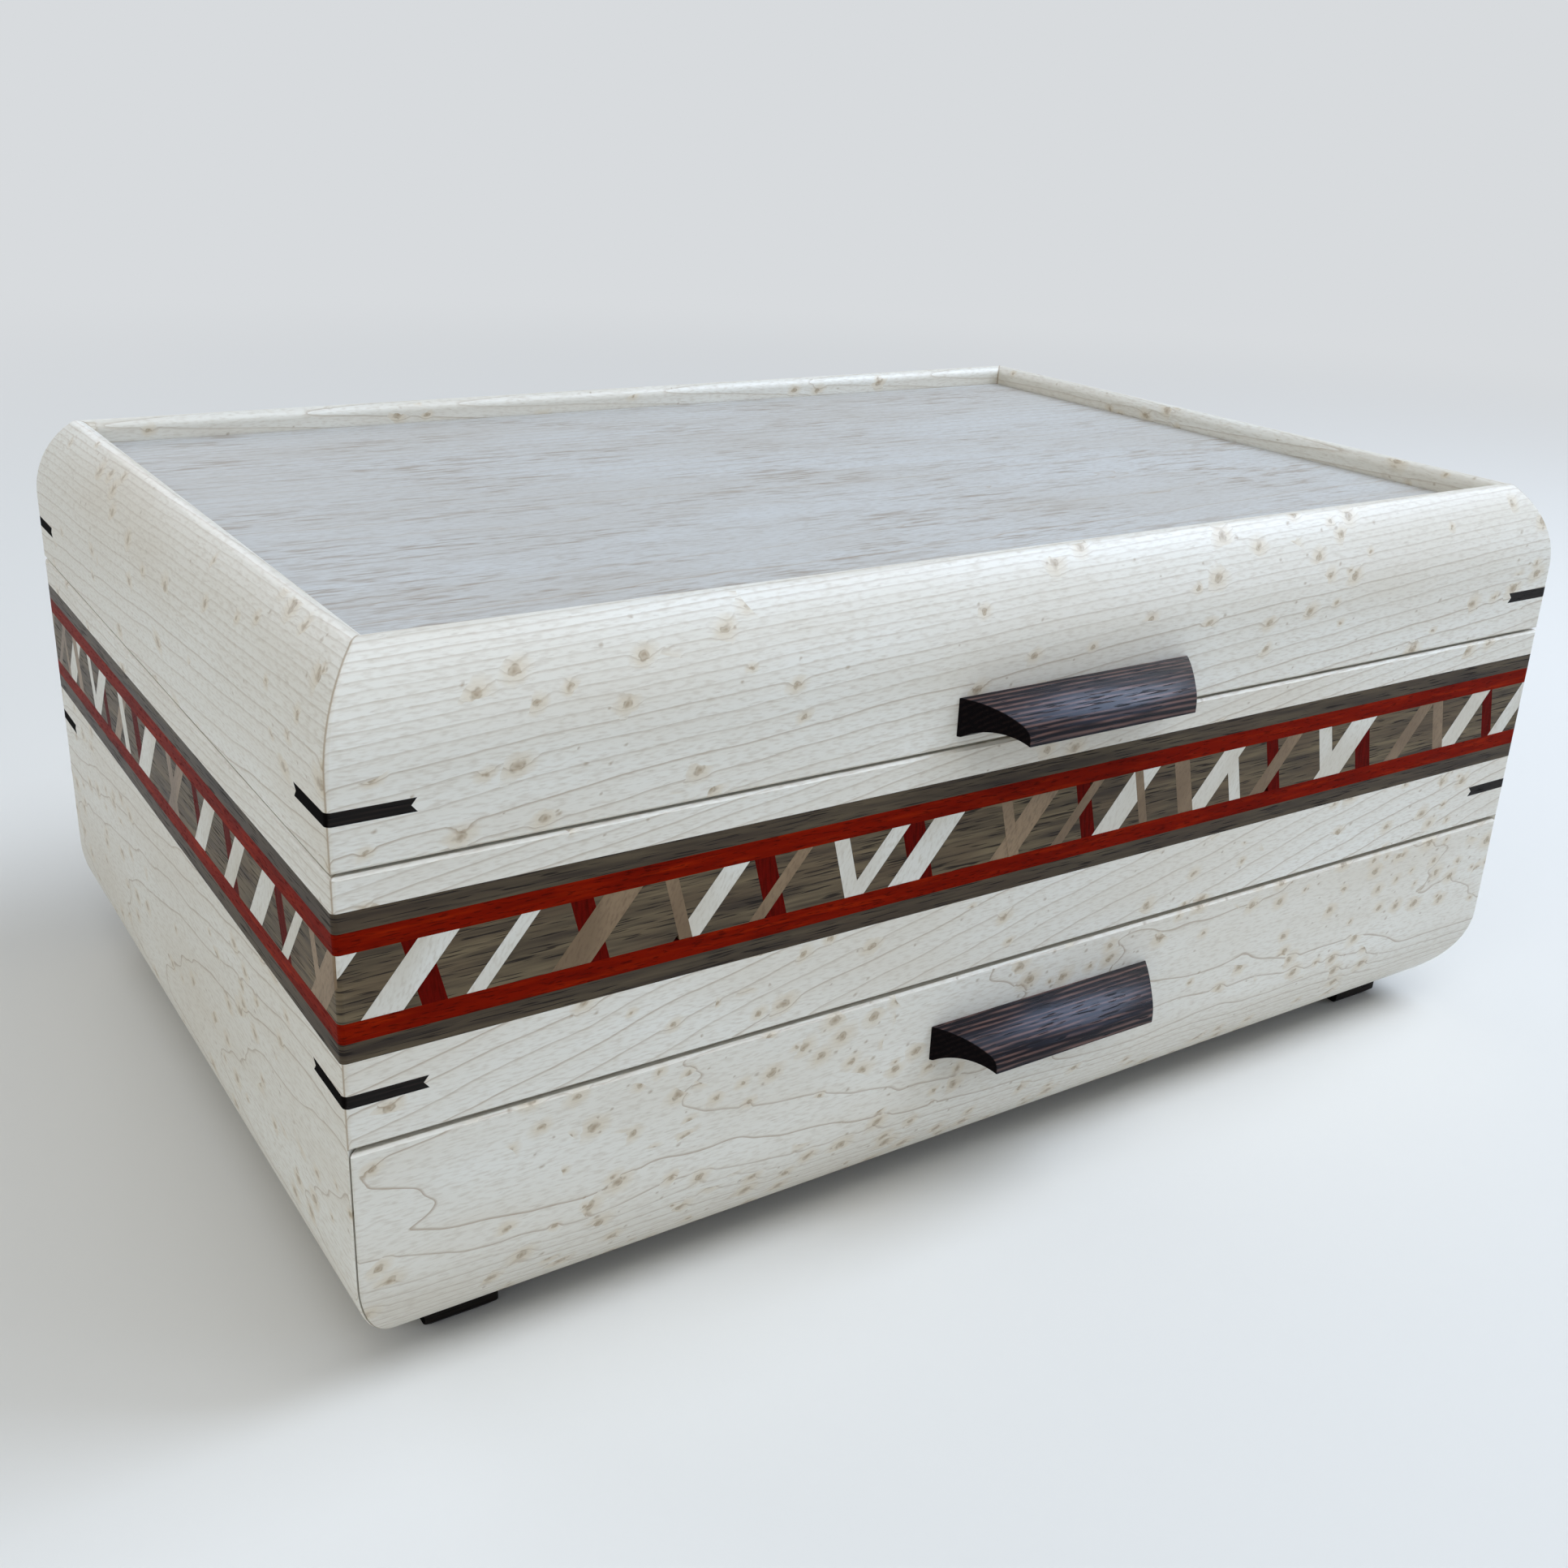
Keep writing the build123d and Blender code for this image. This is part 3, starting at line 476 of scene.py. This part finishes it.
def wenge(name, look):
    # wenge, waxed: near-black brown with close paler stripes along its length and a soft gloss. Faces turned
    # along x, which on the pulls are the end grain, are laid over near black and dull: partly the darker end
    # grain and partly painted shade
    material, tree, shader = newMaterial(name, IOR=waxedIor)
    # reflection tint: on the pulls a painted pale blue skylight in the gloss
    shader.inputs["Specular Tint"].default_value = linear(look["reflectionTint"])
    texture = addNode(tree, "TexCoord", {})
    point = addNode(tree, "Mapping", {
        "Vector": (texture, "Object"), "Scale": (mm, mm, mm),
    }, vector_type="TEXTURE")
    axes = addNode(tree, "SeparateXYZ", {0: point})
    drift = streaks(tree, point, (45, 6, 6), 0.0, 1.0, 1.0, 2.0)
    layer = addUp(tree, (axes, 2), ((drift, 1.8), ((axes, 1), 0.8)))
    rings = addNode(tree, "Math", {0: layer, 1: look["stripeWidth"]}, operation="DIVIDE")
    phase = addNode(tree, "Math", {0: rings, 1: 1.0}, operation="PINGPONG")
    stripe = addNode(tree, "MapRange", {0: phase, 1: 0.35, 2: 0.85, 4: look["stripeShare"]})
    breaks = streaks(tree, point, (14, 1.0, 1.0), 0.32, 0.6)
    stripe = addNode(tree, "Math", {0: stripe, 1: breaks}, operation="MULTIPLY")
    # painted shade: every face turned along x, such as the ends of the pulls, goes near black, partly for its
    # darker end grain
    facing = addNode(tree, "SeparateXYZ", {0: (texture, "Normal")})
    endGrainAndShade = addNode(tree, "Math", {0: facing}, operation="ABSOLUTE")
    endGrainAndShade = addNode(tree, "MapRange", {0: endGrainAndShade, 1: 0.35, 2: 0.7, 4: 0.95})
    pores = streaks(tree, point, (6, 0.4, 0.4), 0.6, 0.68, 0.9)
    colour = layColours(tree, linear(look["dark"]), [
        (look["stripe"], stripe), (look["pore"], pores), (look["pore"], endGrainAndShade),
    ])
    dullness = addNode(tree, "Math", {0: pores, 1: endGrainAndShade}, operation="MAXIMUM")
    rough = addNode(tree, "MapRange", {0: dullness, 3: look["roughness"], 4: look["roughness"] + 0.35})
    gloss = addNode(tree, "MapRange", {0: endGrainAndShade, 3: look["gloss"], 4: look["endGloss"]})
    tree.links.new(gloss.outputs[0], shader.inputs["Specular IOR Level"])
    relief = addUp(tree, 0.0, ((pores, -1.0),))
    finishSurface(tree, shader, colour, rough, relief, look["relief"])
    return material


def metal(name, bright, dull, roughness, relief=0.004):
    # brushed metal: fine straight scratches along x, and a tone that dulls in patches
    material, tree, shader = newMaterial(name, Metallic=1.0)
    place = (addNode(tree, "TexCoord", {}), "Object")
    point = addNode(tree, "Mapping", {"Vector": place, "Scale": (mm, mm, mm)}, vector_type="TEXTURE")
    scratches = streaks(tree, point, (9, 0.12, 0.12), 0.3, 0.7, 1.0, 2.0)
    patches = streaks(tree, point, (8, 5, 5), 0.35, 0.7, 1.0, 2.0)
    colour = layColours(tree, linear(bright), [(dull, patches)])
    rough = addNode(tree, "MapRange", {0: scratches, 3: roughness, 4: roughness + 0.14})
    finishSurface(tree, shader, colour, rough, scratches, relief)
    return material


stripedWenge = wenge("wenge_waxed", pullWood)
darkWenge = wenge("wenge_end_grain", keyWood)
brass = metal("brass_brushed", "#D2AE66", "#B08C48", 0.24)
steel = metal("steel_zinc_plated", "#B8BCC2", "#9A9EA4", 0.3)
for name in ("lid_pull", "drawer_pull"):
    dress(name, stripedWenge)
for name in ("lid_corner_keys", "case_corner_keys"):
    dress(name, darkWenge)
for name in nodes:
    if name.startswith("foot_") and not name.endswith("screws"):
        dress(name, darkWenge)
    if name.startswith("hinge_") and not name.endswith("screws"):
        dress(name, brass)
dress("lock_collar", brass)
dress("lock_pin", steel)
print("wenge and metal dressed")

# Edges: joined triangles, then a narrow bevel that catches the light or leaves a fine glue line
easedEdges = {
    "pull": 0.3, "foot": 0.4, "band": 0.08, "leaf": 0.15, "keys": 0.05, "collar": 0.2,
}
edgeLook = dict(joined=0.002, segments=2, leastTurn=25.0)
for name, piece in nodes.items():
    for word, width in easedEdges.items():
        if word in name and "screws" not in name:
            weld = piece.modifiers.new("joined", "WELD")
            weld.merge_threshold = edgeLook["joined"] * mm
            bevel = piece.modifiers.new("eased", "BEVEL")
            bevel.width = width * mm
            bevel.segments = edgeLook["segments"]
            bevel.limit_method = "ANGLE"
            bevel.angle_limit = math.radians(edgeLook["leastTurn"])
            bevel.harden_normals = True


sharpTurn = 35.0         # degrees between faces past which a new piece keeps its edge


def addPiece(name, verts, faces, material, body, replaced):
    mesh = bpy.data.meshes.new(name)
    mesh.from_pydata(verts.tolist(), [], faces)
    mesh.shade_smooth()
    mesh.set_sharp_from_angle(angle=math.radians(sharpTurn))
    mesh.materials.append(material)
    piece = bpy.data.objects.new(name, mesh)
    bpy.context.scene.collection.objects.link(piece)
    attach(piece, body)
    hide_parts(replaced)


def ringFaces(ringCount, columns):
    # quads between each ring of points and the next, the seam closed, and a cap on the first and last ring
    first = np.arange((ringCount - 1) * columns).reshape(ringCount - 1, columns)
    after = np.roll(first, -1, axis=1)
    quads = np.stack([first, first + columns, after + columns, after], -1).reshape(-1, 4)
    top = np.arange(columns)
    bottom = (ringCount - 1) * columns + np.arange(columns)[::-1]
    return quads.tolist() + [top.tolist(), bottom.tolist()]


# What all screws share: the rim of the head in mm, and the taper of the recess and the point as shares
screwForm = dict(lip=0.03, rim=0.12, recessTaper=0.8, point=0.15, turn=0.7)


def screwSurface(look):
    # countersunk screw, head up at the origin: rings of points from the floor of its drive recess over the
    # head, down the cone and the shank to the point. The recess outline is the farthest that any of its
    # crossed bars reaches
    corner = math.atan2(look["barWidth"] / 2, look["barReach"])
    quarter = np.array([0, corner / 2, corner, (corner + math.pi / 4) / 2])
    octant = np.concatenate([quarter, [math.pi / 4], math.pi / 2 - quarter[:0:-1]])
    turn = np.concatenate([octant + step * math.pi / 2 for step in range(4)])
    bars = turn[:, None] + np.arange(look["bars"])[None, :] * math.pi / 2
    lengthwise = look["barReach"] / np.maximum(np.abs(np.cos(bars)), 1e-6)
    sideways = look["barWidth"] / 2 / np.maximum(np.abs(np.sin(bars)), 1e-6)
    recess = np.minimum(lengthwise, sideways).max(axis=1)
    radius, shank = look["head"] / 2, look["shank"] / 2
    lip, rim = screwForm["lip"], screwForm["rim"]
    heights = np.array([
        -look["recessDepth"], -lip, -lip, -rim, -look["headHeight"],
        2 * shank - look["length"], -look["length"],
    ])
    allRound = np.ones_like(turn)
    across = np.stack([
        screwForm["recessTaper"] * recess, recess, (radius - rim) * allRound, radius * allRound,
        shank * allRound, shank * allRound, screwForm["point"] * shank * allRound,
    ])
    points = np.stack([
        across * np.cos(turn), across * np.sin(turn), heights[:, None] * allRound,
    ], -1)
    return points.reshape(-1, 3) * mm, ringFaces(len(heights), len(turn))


def screwSet(name, body, material, look, places):
    # one screw turned and moved to each place, a pair of the head's middle and the way it faces
    verts, faces = screwSurface(look)
    points, polygons = [], []
    for index, (spot, facing) in enumerate(places):
        upright = Vector((0, 0, 1)).rotation_difference(Vector(facing)).to_matrix()
        turn = upright @ Matrix.Rotation(screwForm["turn"] * index, 3, "Z")
        points.append(verts @ np.array(turn).T + np.array(spot))
        polygons += [[corner + index * len(verts) for corner in face] for face in faces]
    addPiece(f"{name}_driven", np.concatenate(points), polygons, material, body, name)


# Screws: sizes in mm. One bar makes a slot, two a cross
hingeScrew = dict(
    head=4.1, shank=2.0, headHeight=1.2, length=8.8,
    bars=1, barReach=2.3, barWidth=0.5, recessDepth=0.6,
)
pullScrew = dict(
    head=5.9, shank=2.8, headHeight=1.8, length=19.2,
    bars=2, barReach=1.7, barWidth=0.75, recessDepth=1.2,
)
runnerScrew = dict(
    head=4.9, shank=2.4, headHeight=1.4, length=11.6,
    bars=2, barReach=1.4, barWidth=0.65, recessDepth=1.0,
)
footScrew = dict(
    head=5.9, shank=2.8, headHeight=1.8, length=12.6,
    bars=2, barReach=1.7, barWidth=0.75, recessDepth=1.2,
)
hingeScrewStep = 13.0
halfHead = dict(pull=3.0, runner=2.5, foot=3.0)


def drawnIn(low, high, inset):
    return (low + inset * mm, high - inset * mm)


for body, facing, face in (("case", (0, 0, 1), 1), ("lid", (0, 0, -1), 0)):
    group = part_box(f"hinge_{body}_screws")
    middle = (group[0] + group[1]) / 2
    leaves = [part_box(f"hinge_{side}_{body}_leaf") for side in ("left", "right")]
    hinges = [(low.x + high.x) / 2 for low, high in leaves]
    places = [
        ((x + step * hingeScrewStep * mm, middle.y, group[face].z), facing)
        for x in hinges for step in (-1, 0, 1)
    ]
    screwSet(f"hinge_{body}_screws", body, brass, hingeScrew, places)
for body in ("lid", "drawer"):
    low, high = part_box(f"{body}_pull_screws")
    places = [
        ((x, high.y, (low.z + high.z) / 2), (0, 1, 0)) for x in drawnIn(low.x, high.x, halfHead["pull"])
    ]
    screwSet(f"{body}_pull_screws", body, steel, pullScrew, places)
low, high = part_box("runner_screws")
runnerFaces = ((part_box("drawer_runner_left")[1].x, 1), (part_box("drawer_runner_right")[0].x, -1))
screwSet("runner_screws", "case", steel, runnerScrew, [
    ((x, y, (low.z + high.z) / 2), (way, 0, 0))
    for x, way in runnerFaces for y in drawnIn(low.y, high.y, halfHead["runner"])
])
low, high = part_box("foot_screws")
screwSet("foot_screws", "case", steel, footScrew, [
    ((x, y, low.z), (0, 0, -1))
    for x in drawnIn(low.x, high.x, halfHead["foot"]) for y in drawnIn(low.y, high.y, halfHead["foot"])
])
print("screws driven")

knobLook = dict(waist=0.7, rimShare=0.5, covePower=1.5, crownPower=2.6, crownFlat=0.02, rings=28, columns=56)


def knobSurface(look, low, high):
    # turned knob: a cove from its foot out to the rim, then a dome that is a superellipse in radius and height
    middle, radius, tall = (low + high) / 2, (high.x - low.x) / 2, high.z - low.z
    rise = np.linspace(0, 1, look["rings"])
    under = np.clip(rise / look["rimShare"], 0, 1)
    over = np.clip((rise - look["rimShare"]) / (1 - look["rimShare"]), 0, 1)
    flare = look["waist"] + (1 - look["waist"]) * np.sin(under * math.pi / 2) ** look["covePower"]
    dome = np.maximum(1 - over ** look["crownPower"], look["crownFlat"]) ** (1 / look["crownPower"])
    across = radius * flare * dome
    turn = np.linspace(0, 2 * math.pi, look["columns"], endpoint=False)
    points = np.stack([
        middle.x + across[::-1, None] * np.cos(turn), middle.y + across[::-1, None] * np.sin(turn),
        low.z + tall * rise[::-1, None] + 0 * turn,
    ], -1)
    return points.reshape(-1, 3), ringFaces(look["rings"], look["columns"])


verts, faces = knobSurface(knobLook, *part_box("lock_knob"))
addPiece("lock_knob_turned", verts, faces, stripedWenge, "lock", "lock_knob")
print("knob turned")

# Stage: a pale floor of matt paper, even and without gloss, that runs out into a plain backdrop
stageLook = dict(
    radius=9.0, innermost=0.02, rings=24, steps=96, floor="#DFDCD5", roughness=0.85, backdrop="#D8DBDE",
    nearEdge=0.45, farEdge=1.7,
)
skyLook = dict(low="#D4D3D0", high="#BAC6D5", lowEdge=-0.1, highEdge=0.8, strength=0.45)


def floorSurface(look):
    # flat disc: rings that widen with the square of their count
    distance = look["radius"] * np.linspace(look["innermost"], 1, look["rings"])[::-1, None] ** 2
    turn = np.linspace(0, 2 * math.pi, look["steps"], endpoint=False)[None, :]
    points = np.stack([distance * np.cos(turn), distance * np.sin(turn), 0 * distance * turn], -1)
    return points.reshape(-1, 3)


def seenRays(tree):
    # 1 for what the eye sees straight or mirrored, 0 for light that falls on the object
    rays = addNode(tree, "LightPath", {})
    seen = addNode(tree, "Math", {
        0: (rays, "Is Camera Ray"), 1: (rays, "Is Glossy Ray"),
    }, operation="MAXIMUM")
    return addNode(tree, "Math", {0: seen, 1: (rays, "Is Transmission Ray")}, operation="MAXIMUM")


floorMesh = bpy.data.meshes.new("floor")
floorFaces = ringFaces(stageLook["rings"], stageLook["steps"])
floorFaces.pop(-2)       # its rim stays open
floorMesh.from_pydata(floorSurface(stageLook).tolist(), [], [face[::-1] for face in floorFaces])
floor = bpy.data.objects.new("floor", floorMesh)
bpy.context.scene.collection.objects.link(floor)
floorPaint, tree, shader = newMaterial("matt_paper", Roughness=stageLook["roughness"])
shader.inputs["Base Color"].default_value = linear(stageLook["floor"])
away = (addNode(tree, "VectorMath", {0: (addNode(tree, "TexCoord", {}), "Object")}, operation="LENGTH"), 1)
far = addNode(tree, "MapRange", {
    0: away, 1: stageLook["nearEdge"], 2: stageLook["farEdge"],
}, interpolation_type="SMOOTHSTEP")
far = addNode(tree, "Math", {0: far, 1: seenRays(tree)}, operation="MULTIPLY")
backdrop = addNode(tree, "Emission", {"Color": linear(stageLook["backdrop"]), "Strength": 1.0})
faded = addNode(tree, "MixShader", {0: far, 1: shader, 2: backdrop})
tree.links.new(faded.outputs[0], tree.nodes["Material Output"].inputs["Surface"])
floorMesh.materials.append(floorPaint)

world = bpy.data.worlds.new("studio")
bpy.context.scene.world = world
world.use_nodes = True
tree = world.node_tree
direction = addNode(tree, "SeparateXYZ", {0: (addNode(tree, "TexCoord", {}), "Generated")})
rise = addNode(tree, "MapRange", {0: (direction, 2), 1: skyLook["lowEdge"], 2: skyLook["highEdge"]})
sky = layColours(tree, linear(skyLook["low"]), [(skyLook["high"], rise)])
light = tree.nodes["Background"]
tree.links.new(sky[0].outputs[sky[1]], light.inputs["Color"])
light.inputs["Strength"].default_value = skyLook["strength"]
plain = addNode(tree, "Background", {"Color": linear(stageLook["backdrop"]), "Strength": 1.0})
both = addNode(tree, "MixShader", {0: seenRays(tree), 1: light, 2: plain})
tree.links.new(both.outputs[0], tree.nodes["World Output"].inputs["Surface"])

lamps = {
    "key": dict(place=(0.0, -0.7, 1.75), size=(1.6, 1.0), watts=12, colour="#F6FAFF"),
    "left": dict(place=(-1.7, -0.5, 0.8), size=(1.2, 1.2), watts=8, colour="#FAFCF8"),
    "right": dict(place=(1.5, -1.6, 0.7), size=(1.0, 0.8), watts=6, colour="#D4E3FF"),
    "sheen": dict(place=(1.2, -0.4, 1.4), size=(1.0, 1.0), watts=26, colour="#DAE9FF"),
    "back": dict(place=(-0.6, 1.6, 1.0), size=(1.8, 0.8), watts=9, colour="#F0F5FF"),
}
for name, lamp in lamps.items():
    data = bpy.data.lights.new(name, "AREA")
    data.shape = "RECTANGLE"
    data.size, data.size_y = lamp["size"]
    data.energy = lamp["watts"]
    data.color = linear(lamp["colour"])[:3]
    holder = bpy.data.objects.new(name, data)
    holder.location = lamp["place"]
    aim = -holder.location + (cadBox[0] + cadBox[1]) / 2
    holder.rotation_euler = aim.to_track_quat("-Z", "Y").to_euler()
    bpy.context.scene.collection.objects.link(holder)

# Camera as the photograph was taken: heading from +Y towards +X, dip below level, right side raised by roll
view = dict(
    place=(-0.2523, -0.3744, 0.2447), heading=33.88, dip=22.18, roll=2.56, lens=39.05, sensor=36.0, near=0.01,
)
cameraData = bpy.data.cameras.new("camera")
cameraData.lens = view["lens"]
cameraData.sensor_width = view["sensor"]
cameraData.clip_start = view["near"]
camera = bpy.data.objects.new("camera", cameraData)
camera.matrix_world = (
    Matrix.Translation(view["place"])
    @ Matrix.Rotation(-math.radians(view["heading"]), 4, "Z")
    @ Matrix.Rotation(math.radians(90 - view["dip"]), 4, "X")
    @ Matrix.Rotation(math.radians(view["roll"]), 4, "Z")
)
bpy.context.scene.collection.objects.link(camera)
bpy.context.scene.camera = camera
bpy.context.scene.view_settings.view_transform = "Standard"
print("stage, lights and camera set")
